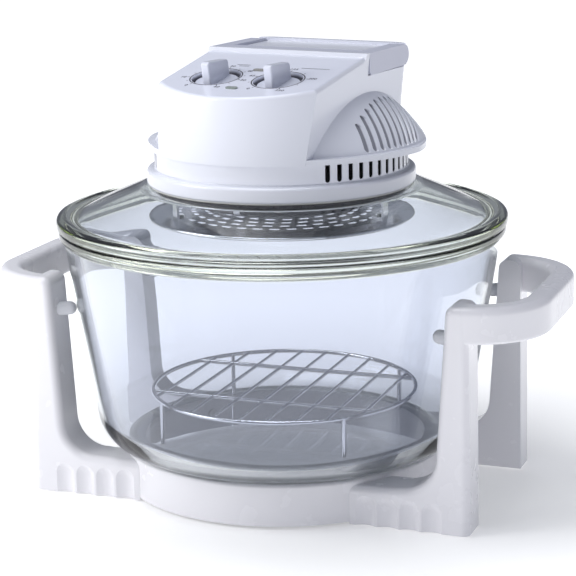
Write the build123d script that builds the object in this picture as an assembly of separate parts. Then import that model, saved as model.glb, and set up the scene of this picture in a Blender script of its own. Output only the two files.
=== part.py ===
from build123d import *
import os
from math import atan, atan2, degrees, hypot, pi, radians, sin, sqrt

os.makedirs("parts", exist_ok=True)

# Halogen oven, millimetres. The front is -Y, up is +Z, and the origin is on the floor under the
# middle of the bowl. The round lid rests on the bowl, turned about Z by head_turn.

# ---- clearances ----
seat_gap = 0.3            # between bodies that rest on each other
running_gap = 0.08        # shaft in a bush, radial
screw_gap = 0.1           # screw shank in its hole, radial
panel_gap = 0.15          # trim piece in its pocket, all round

# ---- small screws used all through the head ----
screw_radius = 1.5
screw_head_radius = 2.8
screw_head_height = 1.7

# ---- bowl ----
bowl_wall = 5.0
bowl_top_radius = 160.0
bowl_corner_radius = bowl_top_radius - 20.5
bowl_corner_height = 22.0  # the rounded corner ends this far above the floor of the bowl
bowl_mid_radius = (bowl_top_radius + bowl_corner_radius) / 2 + 0.65
bowl_foot_radius = bowl_corner_radius - 26.5
bowl_flange_radius = bowl_top_radius + 3.8
bowl_flange_height = 7.0
bowl_height = 163.7

# ---- stand ----
foot_pad_proud = 1.0      # rubber shows below the foot
foot_pad_length = 34.0
foot_pad_width = 15.0
foot_pad_pocket = 2.0
ring_radius = bowl_foot_radius + 7.5
ring_inner_radius = bowl_foot_radius - 8.0
ring_bottom = 2.5
ring_top = 33.0
ring_wall = 3.5
foot_top = 31.0
foot_outer_x = bowl_top_radius + 6.5
frame_half_depth = 90.0   # front and rear faces of the feet
post_depth = 27.0
post_outer_x = bowl_top_radius + 4.0
post_inner_top_x = bowl_top_radius - 12.0
post_inner_low_x = bowl_corner_radius + 1.0
post_fillet = 24.0
post_top_round = 6.5
frame_edge_round = 5.5
band_bottom = 137.0
band_top = 162.5
band_width = 18.0
band_corner = 56.0
band_crown = frame_edge_round
band_reach = 49.5         # from the bowl to the outer face of the band
band_outer_x = bowl_top_radius + band_reach
flute_count = 4
flute_radius = 12.0
flute_depth = 2.4
flute_height = 15.0
flute_pitch = 16.0
flute_end = 26.5          # from the outer end of the foot to the last flute
flute_first_x = foot_outer_x - flute_end - (flute_count - 1) * flute_pitch
bumper_height = 137.0
bumper_radius = 5.0
bumper_length = 20.0
frame_screw_height = 15.0
frame_screw_length = 13.0  # stays inside the foot, behind the flutes
frame_screw_radius = 2.0
frame_screw_head = 4.0
frame_screw_head_height = 2.4

# ---- low rack ----
rack_radius = bowl_foot_radius - 15.0
rack_height = 34.0
rack_wire = 1.5           # radius of the ring and the two cross bars
rack_bar = 1.2
rack_bar_count = 9
rack_leg_count = 4
rack_cross_y = rack_radius * 0.46

# ---- glass lid ----
lid_radius = bowl_top_radius + 5.0
lid_rim_height = 6.5
lid_ridge_radius = lid_radius - 6.5
lid_glass = 5.0
lid_hole_radius = 80.0
lid_land_radius = 100.0
lid_land_rise = 28.9      # top of the glass under the head, above the bottom of the rim
lid_lip_depth = 6.0
gasket_thickness = 1.0

# ---- head: lower housing ----
head_turn = -8.0
flange_radius = 98.0
flange_height = 10.5
drum_radius = 92.5
drum_height = 14.5
housing_wall = 2.5
spigot_width = 9.0
floor_hole_radius = 60.0
vent_count = 16
vent_pitch = 5.56         # degrees between drum slots
vent_width = 3.7
vent_height = 12.5
housing_screw_inset = 9.0
housing_screw_seat = 4.0  # plastic between the screw's head and the joint

# ---- head: upper housing ----
upper_low_radius = 95.0
upper_top_radius = 91.0
side_low_x = 58.5
side_x = 65.0            # at the ridge; the sides lean outwards going up
rear_y = 88.0
rear_corner = 15.0
base_disc = 4.0
base_disc_inset = 0.6     # the disc stays behind the leaning front
panel_front_height = 46.5  # front edge of the panel above the top of the drum
panel_slope = 0.19
ridge_y = 10.5
riser_run = 1.5           # short steep step between the panel and the ridge
riser_rise = 2.4
scoop_centre_y = 15.0
scoop_rim_radius = 104.5
scoop_ball_radius = 118.8
scoop_ball_drop = 61.4    # centre of the ball below the base of the upper housing
scoop_height = 42.0
louvre_count = 10
louvre_low_y = -32.0      # lower end of the first louvre
louvre_low_pitch = 6.5
louvre_low_height = 6.8   # above the base of the upper housing
louvre_high_y = -25.0
louvre_high_pitch = 9.2
louvre_high_height = 34.0
louvre_fall = 0.5         # how fast the upper ends fall away to the front and rear
louvre_width = 3.8
louvre_depth = 1.6
louvre_slit = 1.1         # open slit along the front edge of each louvre
louvre_lip = 0.4          # left between the slit and that edge

# ---- controls ----
knob_x = 24.8
knob_y = -49.0
knob_radius = 15.5
knob_disc_sunk = 2.6      # top of the disc below the panel
knob_recess_depth = 4.8
knob_recess_gap = 2.2
knob_bar_length = 28.0
knob_bar_width = 6.5
knob_bar_height = 15.0    # at the front
knob_bar_rear_height = 9.0
knob_shaft_radius = 3.0
knob_bore_top = 6.0
control_body = 34.0
control_depth = 20.0
thermostat_disc = 12.0
lens_front_y = -71.0
lens_rear_y = -31.0
lens_length = 9.0
lens_width = 4.0
lens_proud = 0.8
neon_radius = 2.2
neon_length = 11.0

# ---- carry handle ----
handle_plate = 8.0
handle_arm = 12.0
handle_grip = 17.0
handle_skirt = 16.0
handle_side_gap = 0.5
handle_setback = 4.0      # strip of the housing between the ridge and the handle
handle_pivot_y = 74.0
handle_pin_radius = 2.5
handle_knuckle = 7.5
plateau_drop = 2.0        # raised middle of the top, below the handle's top
finger_slot = 17.0
plunger_radius = 2.0

# ---- lamp, reflector and guard ----
reflector_radius = 76.0
reflector_dish = 2.5
reflector_sheet = 1.0
reflector_flat_radius = 66.0
reflector_hole_radius = 2.2
reflector_hole_rows = ((18.0, 8), (28.0, 12), (38.0, 18), (48.0, 24))
clamp_radius = 87.0
clamp_thickness = 2.5
clamp_screw_circle = 78.5
clamp_screw_bite = 6.0
lamp_ring_radius = 62.0
lamp_tube_radius = 4.5
lamp_drop = 8.6           # centre of the tube below the spigot
lamp_gap_angle = 30.0
lamp_gap_centre = 90.0
lamp_stem_radius = 3.0
lamp_cap_width = 12.0
lamp_cap_height = 11.0
clip_angles = (30, 150, 270)
clip_width = 5.0
clip_sheet = 0.8
guard_radius = 96.0
guard_drop = 19.0         # guard plate below the spigot
guard_flat_radius = 86.0
guard_sheet = 1.0
guard_flare = 2.0
guard_rows = 7
guard_row_pitch = 10.2
guard_hole_length = 7.5
guard_hole_width = 3.6
guard_hole_web = 4.2      # metal between neighbouring holes
guard_rim_wire = 1.3
guard_first_row = 14.0
guard_post_count = 3
guard_post_start = 236.5
guard_post_width = 7.0
guard_post_sheet = 1.6
guard_post_radius = 84.5
guard_foot = 7.5
guard_screw_inset = 3.5

# ---- motor and fans ----
shield_radius = 72.0
shield_sheet = 1.2
insulation_radius = 58.0
insulation_thickness = 5.0
shaft_radius = 3.0
shaft_hole_radius = 6.0
convection_fan_radius = 46.0
convection_fan_height = 7.0
convection_blades = 6
cooling_fan_radius = 42.0
cooling_fan_height = 9.0
cooling_blades = 9
fan_sheet = 1.0
fan_hub_radius = 9.0
fan_clearance = 3.0
nut_radius = 5.0
nut_height = 3.0
motor_radius = 30.0
motor_stack = 18.0
motor_bore_radius = 15.5
motor_air_gap = 0.5
motor_bell_height = 5.0
motor_bell_wall = 2.0
motor_ear_reach = 38.0
motor_ear_round = 5.0
motor_plate = 2.0
motor_slots = 12
bolt_reach = motor_radius + 3.5
standoff_radius = 3.5
bearing_radius = 6.0
bearing_height = 5.0

# ---- inlet ----
inlet_height = 23.0       # centre above the base of the upper housing
inlet_width = 27.0
inlet_tall = 19.0
inlet_depth = 20.0
inlet_wall = 2.5
inlet_flange = 4.0
inlet_cavity_depth = 16.0
inlet_pin_pitch = 7.0
inlet_pin_length = 11.0
inlet_pin_width = 2.0
inlet_pin_tall = 4.0

# ---- electrics inside the head ----
switch_length = 20.0
switch_width = 10.0
switch_height = 14.0
plunger_reach = 8.0       # into the switch case
plunger_bore = 12.0
terminal_half = 14.0
terminal_y = 58.0
terminal_height = 12.0
terminal_pitch = 9.0
cutout_x = -56.0
cutout_y = 8.0

# ---- levels worked out from the sizes above ----
beyond = 3 * bowl_top_radius   # cutting blocks and drills reach this far, past every face
foot_bottom = foot_pad_proud
bowl_bottom = ring_top + seat_gap
bowl_top = bowl_bottom + bowl_height
bowl_floor = bowl_bottom + bowl_wall + 1
lid_bottom = bowl_top + seat_gap
lid_land = lid_bottom + lid_land_rise
spigot_bottom = lid_land - lid_glass
flange_bottom = lid_land + gasket_thickness
drum_bottom = flange_bottom + flange_height
upper_bottom = drum_bottom + drum_height
floor_top = flange_bottom + 3.0
panel_front_z = upper_bottom + panel_front_height
riser_z = panel_front_z + panel_slope * (ridge_y - riser_run + upper_top_radius)
ridge_z = riser_z + riser_rise
handle_bottom = ridge_z - handle_plate
panel_tilt = degrees(atan(panel_slope))
guard_top = spigot_bottom - guard_drop
lamp_height = spigot_bottom - lamp_drop
rack_top = bowl_floor + seat_gap + rack_height
shield_top = floor_top + shield_sheet
fan_low = shield_top + fan_clearance
bell_bottom = fan_low + cooling_fan_height + 2.0
stack_bottom = bell_bottom + motor_plate + motor_bell_height
stack_top = stack_bottom + motor_stack
motor_top = stack_top + motor_bell_height + motor_plate
shaft_bottom = lamp_height - 7.0
shaft_top = motor_top + 4.0
convection_high = lamp_height + lamp_tube_radius
convection_low = convection_high - convection_fan_height
control_top = -knob_recess_depth - 2.0   # under the panel, along its square


# ---- shared shapes ----
def outline(*corners):
    """Closed face from (a, b, radius) corners."""
    points = [(a, b) for a, b, _ in corners]
    return make_face(FilletPolyline(*points, radius=[r for *_, r in corners], close=True))


def turned(*corners):
    """Solid of revolution about Z from (radius, height, corner radius)."""
    return revolve(Plane.XZ * outline(*corners), Axis.Z)


def tube(outer, inner, bottom, top):
    return turned((inner, bottom, 0), (outer, bottom, 0), (outer, top, 0), (inner, top, 0))


def rod(radius, bottom, top, x=0.0, y=0.0):
    upright = (Align.CENTER, Align.CENTER, Align.MIN)
    return Pos(x, y, bottom) * Cylinder(radius, top - bottom, align=upright)


def block(x_from, x_to, y_from, y_to, z_from, z_to):
    size = (x_to - x_from, y_to - y_from, z_to - z_from)
    centre = ((x_from + x_to) / 2, (y_from + y_to) / 2, (z_from + z_to) / 2)
    return Pos(*centre) * Box(*size)


def around(count, radius, start=0.0):
    return [Rot(0, 0, start + i * 360 / count) * Pos(radius, 0, 0) for i in range(count)]


def screw(length, radius=screw_radius, head_radius=screw_head_radius, head_height=screw_head_height):
    """Screw pointing up, with the underside of its head at the origin."""
    head = rod(head_radius, -head_height, 0)
    slot = Pos(0, 0, -head_height) * Box(head_radius * 1.3, radius * 0.4, head_height)
    return head + rod(radius, 0, length) - slot


def screw_hole(low, high, x=0.0, y=0.0):
    return rod(screw_radius + screw_gap, low, high, x, y)


def mirrored_x(shape):
    return shape + mirror(shape, Plane.YZ)


def group(pieces):
    return Compound([solid for piece in pieces for solid in piece.solids()])


def write(name, shape):
    export_step(shape, f"parts/{name}.step")


def write_head(name, shape):
    """Pieces of the lid and head are turned with it."""
    write(name, Rot(0, 0, head_turn) * shape)


# ---- stand: base ring ----
def base_ring():
    ring = turned(
        (ring_inner_radius, ring_top, 0), (ring_inner_radius, ring_top - ring_wall, 0),
        (ring_radius - ring_wall, ring_top - ring_wall, 3), (ring_radius - ring_wall, ring_bottom, 0),
        (ring_radius, ring_bottom, 0.8), (ring_radius, ring_top, 2.5))
    for angle in foot_angles():
        ring -= screw_axis(angle) * rod(frame_screw_radius + screw_gap, 0, 3 * ring_wall)
        ring -= screw_axis(angle) * rod(frame_screw_head + seat_gap, -ring_wall, 0)
    return ring


def foot_middle_y():
    return frame_half_depth - post_depth / 2


def foot_angles():
    side = degrees(atan(foot_middle_y() / sqrt(ring_radius ** 2 - foot_middle_y() ** 2)))
    return [side, 180 - side, 180 + side, -side]


def screw_axis(angle):
    """Local +Z points outwards through the ring at the given angle."""
    reach = ring_radius - ring_wall
    return Rot(0, 0, angle) * Pos(reach, 0, frame_screw_height) * Rot(0, 90, 0)


def frame_screws():
    single = screw(frame_screw_length, frame_screw_radius, frame_screw_head, frame_screw_head_height)
    return group([screw_axis(angle) * single for angle in foot_angles()])


# ---- stand: side frames ----
def foot_and_post():
    inner_x = sqrt(ring_radius ** 2 - frame_half_depth ** 2) - 8
    front = outline(
        (inner_x, foot_bottom, 0), (foot_outer_x, foot_bottom, 0),
        (post_outer_x, band_top, post_top_round), (post_inner_top_x, band_top, post_top_round),
        (post_inner_low_x, foot_top, post_fillet), (inner_x, foot_top - 1.5, 0))
    leg = extrude(Plane.XZ.offset(frame_half_depth - post_depth) * front, post_depth)
    edges = leg.edges().filter_by(lambda e: e.center().Z > foot_bottom + 1 and e.center().X > inner_x + 1)
    faces_y = edges.filter_by(lambda e: abs(abs(e.center().Y) - frame_half_depth) < 0.01)
    return fillet(faces_y, frame_edge_round)


def flutes():
    cuts = []
    for i in range(flute_count):
        x = flute_first_x + i * flute_pitch
        y = -frame_half_depth - flute_radius + flute_depth
        top = foot_bottom + flute_height
        cuts.append(rod(flute_radius, 0, top, x, y) + Pos(x, y, top) * Sphere(flute_radius))
    return cuts


def handle_band():
    outer = RectangleRounded(2 * band_outer_x, 2 * frame_half_depth, band_corner)
    inner_size = (2 * (band_outer_x - band_width), 2 * (frame_half_depth - band_width))
    inner = RectangleRounded(*inner_size, band_corner - band_width)
    band = extrude(Pos(0, 0, band_bottom) * (outer - inner), band_top - band_bottom)
    reach = band_outer_x + 1
    band = band & block(post_inner_top_x + 10, reach, -reach, reach, band_bottom - 1, band_top + 1)
    top = band.edges().filter_by(lambda e: abs(e.center().Z - band_top) < 0.01 and on_band_wall(e))
    band = fillet(top, band_crown)
    low = band.edges().filter_by(lambda e: abs(e.center().Z - band_bottom) < 0.01 and on_band_wall(e))
    return fillet(low, 2.5)


def on_band_wall(edge):
    return edge.center().X > post_inner_top_x + 10.5


def side_frame():
    front = foot_and_post()
    for cut in flutes():
        front -= cut
    both = front + mirror(front, Plane.XZ)
    frame = both + handle_band() - rod(ring_radius + 0.05, 0, ring_top + 5)
    for angle in foot_angles():
        frame -= screw_axis(angle) * rod(frame_screw_radius + screw_gap, 0, frame_screw_length + 1)
    for y in (-foot_middle_y(), foot_middle_y()):
        frame -= foot_pad(y, panel_gap)
    return frame


def foot_pad(y, grow=0.0):
    x = (foot_outer_x + ring_radius) / 2
    length = foot_pad_length + 2 * grow
    width = foot_pad_width + 2 * grow
    height = foot_pad_proud + foot_pad_pocket
    return Pos(x, y, height / 2) * Box(length, width, height)


def bumper(angle):
    """Rubber peg between a post and the bowl, its round nose just clear of the glass."""
    nose = bowl_radius_at(bumper_height) + seat_gap + bumper_radius
    peg = Rot(0, 90, 0) * rod(bumper_radius, 0, bumper_length)
    return Rot(0, 0, angle) * Pos(nose, 0, bumper_height) * (peg + Sphere(bumper_radius))


def bumper_angles():
    side = degrees(atan((frame_half_depth - post_depth / 2) / (post_inner_top_x + 2)))
    return [side, 180 - side, 180 + side, -side]


right_frame = side_frame()
left_frame = mirror(right_frame, Plane.YZ)


# ---- bowl ----
def bowl_wall_arc(inset):
    return ThreePointArc(
        (bowl_corner_radius - inset, bowl_bottom + bowl_corner_height),
        (bowl_mid_radius - inset, (bowl_bottom + bowl_corner_height + bowl_top) / 2),
        (bowl_top_radius - inset, bowl_top - bowl_flange_height))


def bowl_radius_at(height):
    arc = bowl_wall_arc(0)
    return min((arc @ (i / 400) for i in range(401)), key=lambda p: abs(p.Y - height)).X


def bowl_section(inset, bottom, top):
    """Half section of the bowl's outer or inner shape, with a rounded lower corner."""
    wall = bowl_wall_arc(inset)
    low = wall @ 0
    high = wall @ 1
    foot = (bowl_foot_radius - inset, bottom)
    corner = ThreePointArc(foot, corner_point(foot, low), (low.X, low.Y))
    lines = [
        Line((0, bottom), foot), corner, wall,
        Line((high.X, high.Y), (high.X, top)), Line((high.X, top), (0, top)), Line((0, top), (0, bottom))]
    return make_face(Wire(lines))


def corner_point(foot, wall_start):
    """Point near the middle of an elliptic quarter from the flat foot to the wall."""
    share = sin(radians(45))
    x = foot[0] + (wall_start.X - foot[0]) * share
    return (x, foot[1] + (wall_start.Y - foot[1]) * (1 - share))


def glass_bowl():
    outer = revolve(Plane.XZ * bowl_section(0, bowl_bottom, bowl_top), Axis.Z)
    flange = turned(
        (bowl_top_radius - 1, bowl_top - bowl_flange_height - 2, 0),
        (bowl_flange_radius, bowl_top - bowl_flange_height, 2.5),
        (bowl_flange_radius, bowl_top, 2), (bowl_top_radius - 1, bowl_top, 0))
    inner = revolve(Plane.XZ * bowl_section(bowl_wall, bowl_floor, bowl_top + 1), Axis.Z)
    return outer + flange - inner


# ---- low rack ----
def low_rack():
    level = rack_top - rack_wire
    low = level - rack_wire
    inner = rack_radius - rack_wire
    outer = rack_radius + rack_wire
    rack = turned((inner, low, 1.3), (outer, low, 1.3), (outer, rack_top, 1.3), (inner, rack_top, 1.3))
    pitch = 2 * rack_radius / (rack_bar_count + 1)
    for i in range(rack_bar_count):
        x = -rack_radius + pitch * (i + 1)
        rack += Pos(x, 0, level) * Rot(90, 0, 0) * Cylinder(rack_bar, 2 * sqrt(rack_radius ** 2 - x ** 2))
    for y in (-rack_cross_y, rack_cross_y):
        length = 2 * sqrt(rack_radius ** 2 - y ** 2)
        rack += Pos(0, y, level) * Rot(0, 90, 0) * Cylinder(rack_wire, length)
    for place in around(rack_leg_count, rack_radius, 45):
        rack += place * rod(rack_wire * 1.1, bowl_floor + seat_gap, level)
    return rack


# ---- glass lid and its clamping ----
def glass_lid():
    rim_top = lid_bottom + lid_rim_height
    lip = bowl_top_radius - bowl_wall - 0.6
    return turned(
        (lid_radius, lid_bottom, 1.5), (lid_radius, rim_top, 2), (lid_ridge_radius, rim_top + 2, 2),
        (lid_ridge_radius - 6, rim_top - 0.5, 3), (lid_land_radius, lid_land, 8),
        (lid_hole_radius, lid_land, 0), (lid_hole_radius, spigot_bottom, 0),
        (lid_land_radius - 1, spigot_bottom, 8),
        (lip - 4.5, lid_bottom + 1, 2), (lip - 4, lid_bottom - lid_lip_depth, 1),
        (lip, lid_bottom - lid_lip_depth, 1), (lip, lid_bottom, 0))


def lid_gasket():
    return tube(flange_radius - 1.5, lid_hole_radius + 0.5, lid_land, flange_bottom)


def clamp_ring():
    ring = tube(clamp_radius, reflector_radius + 0.5, spigot_bottom - clamp_thickness, spigot_bottom)
    for place in clamp_screw_places():
        ring -= place * screw_hole(spigot_bottom - 5, spigot_bottom + 5)
    return ring


def clamp_screw_places():
    return around(2 * guard_post_count, clamp_screw_circle, guard_post_start)


def clamp_screws():
    seat = spigot_bottom - clamp_thickness
    pieces = []
    for i, place in enumerate(clamp_screw_places()):
        tab = guard_post_sheet if i % 2 == 0 else 0
        pieces.append(place * Pos(0, 0, seat - tab) * screw(clamp_thickness + tab + clamp_screw_bite))
    return group(pieces)


# ---- lower housing ----
def lower_housing():
    spigot_outer = lid_hole_radius - 0.3
    spigot_inner = spigot_outer - spigot_width
    shell = turned(
        (spigot_inner, spigot_bottom, 0), (spigot_outer, spigot_bottom, 0),
        (spigot_outer, flange_bottom, 0), (flange_radius, flange_bottom, 1.5),
        (flange_radius, drum_bottom, 2.5), (drum_radius, drum_bottom + 0.8, 1),
        (drum_radius, upper_bottom, 0), (drum_radius - housing_wall, upper_bottom, 0),
        (drum_radius - housing_wall, floor_top, 2), (floor_hole_radius, floor_top, 0),
        (floor_hole_radius, flange_bottom, 0), (spigot_inner, flange_bottom, 0))
    for side in (0, 180):
        shell -= vent_slots(side)
    for place in housing_screw_places():
        shell += place * (rod(5, floor_top, upper_bottom) & tube(drum_radius - 1, 1, 0, beyond))
    for place in housing_screw_places():
        shell -= place * rod(screw_head_radius + 1.2, 0, upper_bottom - housing_screw_seat)
        shell -= place * screw_hole(0, upper_bottom + 1)
    for place in clamp_screw_places():
        shell -= place * screw_hole(spigot_bottom - 1, spigot_bottom + clamp_screw_bite + 0.5)
    for x, y in standoff_places():
        shell -= screw_hole(0, floor_top + 1, x, y)
    return shell


def vent_slots(side):
    """Row of slots with round lower ends, centred on one side of the drum."""
    half = vent_width / 2
    low = upper_bottom - vent_height + half
    slot = block(-10, 10, -half, half, low, upper_bottom + 1)
    slot += Pos(0, 0, low) * Rot(0, 90, 0) * Cylinder(half, 20)
    start = side - vent_pitch * (vent_count - 1) / 2
    return [Rot(0, 0, start + i * vent_pitch) * Pos(drum_radius, 0, 0) * slot for i in range(vent_count)]


def housing_screw_places():
    radius = drum_radius - housing_screw_inset
    return [Rot(0, 0, angle) * Pos(radius, 0, 0) for angle in (60, 120, 240, 300)]


def housing_screws():
    seat = upper_bottom - housing_screw_seat
    length = housing_screw_seat + base_disc - 0.5
    return group([place * Pos(0, 0, seat) * screw(length) for place in housing_screw_places()])


# ---- upper housing ----
def side_at(height):
    """Half width of the leaning sides at a height."""
    return side_low_x + (side_x - side_low_x) * (height - upper_bottom) / (ridge_z - upper_bottom)


def front_radius_at(height):
    share = (height - upper_bottom) / panel_front_height
    return upper_low_radius + (upper_top_radius - upper_low_radius) * share


def housing_core(inset, bottom, top_drop):
    """Round leaning front, leaning sides, flat rear and the sloped panel, all moved in by inset."""
    high = ridge_z + 5
    rear = rear_y - inset
    low_half = side_at(bottom) - inset
    high_half = side_at(high) - inset
    width = make_face(Polyline(
        (-low_half, bottom), (low_half, bottom), (high_half, high), (-high_half, high), close=True))
    body = extrude(Plane.XZ.offset(-rear) * width, rear + beyond)
    at_rear = body.edges().filter_by(lambda e: abs(e.center().Y - rear) < 0.01)
    corners = at_rear.filter_by(lambda e: abs(e.center().X) > low_half - 0.1 and e.length > 30)
    body = fillet(corners, rear_corner - inset)
    cone = Pos(0, 0, (bottom + high) / 2) * Cone(
        front_radius_at(bottom) - inset, front_radius_at(high) - inset, high - bottom)
    body = body & (cone + block(-beyond, beyond, 0, beyond, bottom, high))
    panel_front = -upper_top_radius - 30   # the side profile starts ahead of the front
    side = make_face(Polyline(
        (panel_front, bottom - 1), (panel_front, panel_front_z - top_drop - 30 * panel_slope),
        (ridge_y - riser_run, riser_z - top_drop), (ridge_y, ridge_z - top_drop),
        (beyond, ridge_z - top_drop), (beyond, bottom - 1), close=True))
    return body & extrude(Plane.YZ * side, side_x + 10, both=True)


def scoop(inset):
    """Side hoods: a ball about a point behind the middle, cut level at the top, on a short round rim."""
    low = upper_bottom - 5 * (inset > 0)
    high = upper_bottom + scoop_height - inset
    ball = Pos(0, scoop_centre_y, upper_bottom - scoop_ball_drop) * Sphere(scoop_ball_radius - inset)
    dome = ball & rod(scoop_rim_radius, low, high, 0, scoop_centre_y)
    dome += rod(scoop_rim_radius - inset, low, upper_bottom + base_disc - inset, 0, scoop_centre_y)
    limit = rod(scoop_rim_radius + 1 - inset, low, ridge_z)
    band = block(-beyond, beyond, -beyond, rear_y - rear_corner - inset, low, ridge_z)
    return dome & limit & band


def louvre(side, number, width, forward):
    """Slanted slot across one scoop, its ends on the fan of lower and upper points."""
    low_y = louvre_low_y + number * louvre_low_pitch
    high_y = louvre_high_y + number * louvre_high_pitch
    high = louvre_high_height - louvre_fall * (number - louvre_count / 2) ** 2
    rise = high - louvre_low_height
    run = high_y - low_y
    slot = Rot(0, 90 * side, 0) * extrude(SlotOverall(hypot(rise, run) + width, width), side_low_x)
    middle_z = upper_bottom + (louvre_low_height + high) / 2
    middle = Pos(side * side_low_x, (low_y + high_y) / 2, middle_z)
    return middle * Rot(-degrees(atan2(run, rise)), 0, 0) * Pos(0, -forward, 0) * slot


def louvres():
    """Shallow grooves in both scoops, each with a slit right through along its front edge."""
    skin = scoop(0) - scoop(louvre_depth)
    slit_shift = (louvre_width - louvre_slit) / 2 - louvre_lip
    cuts = []
    for side in (-1, 1):
        for number in range(louvre_count):
            cuts.append(louvre(side, number, louvre_width, 0) & skin)
            cuts.append(louvre(side, number, louvre_slit, slit_shift))
    return cuts


def handle_rebate():
    """Room for the folded handle: a U-shaped step in the top and at the sides."""
    side = side_x + 5
    front = ridge_y + handle_setback
    rear = handle_pivot_y + handle_knuckle + handle_side_gap
    step = block(-side, side, front, rear, handle_bottom - seat_gap, ridge_z + 5)
    inner = side_x - handle_arm - handle_side_gap
    plateau_front = ridge_y + handle_grip + finger_slot
    step -= block(-inner, inner, plateau_front, rear + 5, 0, ridge_z - plateau_drop)
    skirt_low = ridge_z - handle_skirt - seat_gap
    skirt_inner = side_x - 3 - handle_side_gap
    for sign in (-1, 1):
        x_low, x_high = sorted((sign * skirt_inner, sign * side))
        step += block(x_low, x_high, front, rear, skirt_low, ridge_z)
        x_low, x_high = sorted((sign * inner, sign * side))
        step += knuckle_round(x_low, x_high, handle_knuckle + handle_side_gap)
    return step


def knuckle_round(x_low, x_high, radius):
    pivot = Pos(x_low, handle_pivot_y, ridge_z - handle_knuckle)
    return pivot * Rot(0, 90, 0) * rod(radius, 0, x_high - x_low)


def panel_plane(x, y):
    """Frame on the panel's surface with local Z square to it."""
    z = panel_front_z + panel_slope * (y + upper_top_radius)
    return Pos(x, y, z) * Rot(panel_tilt, 0, 0)


def panel_round(x, y, radius, low, high):
    return panel_plane(x, y) * rod(radius, low, high)


def lens_shape(y, low, high, grow=0.0):
    slot = SlotOverall(lens_length + 2 * grow, lens_width + 2 * grow)
    return panel_plane(0, y) * Pos(0, 0, low) * extrude(slot, high - low)


def inlet_place():
    return Pos(0, rear_y, upper_bottom + inlet_height)


def upper_housing():
    outer = housing_core(0, upper_bottom, 0)
    outer = fillet(outer.edges().filter_by(is_panel_edge), 3)
    outer += scoop(0)
    outer += rod(upper_low_radius - base_disc_inset, upper_bottom, upper_bottom + base_disc)
    inner = housing_core(housing_wall, upper_bottom - 1, housing_wall) - handle_rebate_inner()
    inner += scoop(housing_wall) - block(-side_low_x, side_low_x, -beyond, beyond, 0, beyond)
    inner += rod(drum_radius - housing_wall - 10, upper_bottom - 1, upper_bottom + base_disc)
    shell = outer - inner - handle_rebate()
    for cut in louvres():
        shell -= cut
    for x in (-knob_x, knob_x):
        shell += panel_round(x, knob_y, knob_radius + knob_recess_gap + 2, control_top, -0.2)
        shell -= panel_round(x, knob_y, knob_radius + knob_recess_gap, -knob_recess_depth, 10)
        shell -= panel_round(x, knob_y, knob_shaft_radius + 1, 2 * control_top, 5)
    for y in (lens_front_y, lens_rear_y):
        shell -= lens_shape(y, -10, 10, panel_gap)
    for place in housing_screw_places():
        shell -= place * screw_hole(0, upper_bottom + base_disc - 0.3)
    shell -= inlet_place() * Box(inlet_width + 2 * panel_gap, 20, inlet_tall + 2 * panel_gap)
    shell -= rod(plunger_radius + running_gap, handle_bottom - 20, ridge_z, 0, plunger_y())
    for sign in (-1, 1):
        shell -= pivot_pin(sign, screw_gap)
    return shell


def is_panel_edge(edge):
    middle = edge.center()
    return middle.Z > panel_front_z - 2 and middle.Y < ridge_y - 2


def handle_rebate_inner():
    """Material left under the handle's rebate, so that the step has a floor and side walls."""
    side = side_x + 5
    front = ridge_y + handle_setback - housing_wall
    floor = handle_bottom - seat_gap - housing_wall
    step = block(-side, side, front, beyond, floor, ridge_z + 5)
    skirt_low = ridge_z - handle_skirt - seat_gap - housing_wall
    skirt_inner = side_x - 3 - handle_side_gap - housing_wall
    knuckle_inner = side_x - handle_arm - handle_side_gap - housing_wall
    for sign in (-1, 1):
        x_low, x_high = sorted((sign * skirt_inner, sign * side))
        step += block(x_low, x_high, front, beyond, skirt_low, ridge_z)
        x_low, x_high = sorted((sign * knuckle_inner, sign * side))
        step += knuckle_round(x_low, x_high, handle_knuckle + handle_side_gap + housing_wall)
    return step


# ---- carry handle ----
def plunger_y():
    return ridge_y + handle_grip / 2


def pivot_pin(sign, grow=0.0, end_gap=0.0):
    inner = side_x - handle_arm - 8
    pin = rod(handle_pin_radius + grow, inner - grow, side_x - 1 - seat_gap + end_gap)
    turn = Rot(0, 90 * sign, 0)
    return Pos(0, handle_pivot_y, ridge_z - handle_knuckle) * turn * pin


def carry_handle():
    side = side_x - 0.2
    front = ridge_y + handle_setback + handle_side_gap
    arm_section = outline(
        (front, ridge_z - handle_skirt, 4), (handle_pivot_y, ridge_z - handle_skirt + 1, 0),
        (handle_pivot_y, ridge_z, 0), (front, ridge_z, 1))
    plate_section = outline(
        (front, handle_bottom, 0), (handle_pivot_y, handle_bottom, 0), (handle_pivot_y, ridge_z, 0),
        (front, ridge_z, 1))
    arm = extrude(Pos(side - 3, 0, 0) * (Plane.YZ * arm_section), 3)
    arm += extrude(Pos(side - handle_arm, 0, 0) * (Plane.YZ * plate_section), handle_arm)
    arm += knuckle_round(side - handle_arm, side, handle_knuckle)
    handle = mirrored_x(arm)
    handle += block(-side, side, front, ridge_y + handle_grip, handle_bottom, ridge_z)
    for sign in (-1, 1):
        handle -= pivot_pin(sign, running_gap, seat_gap)
    return handle


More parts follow.
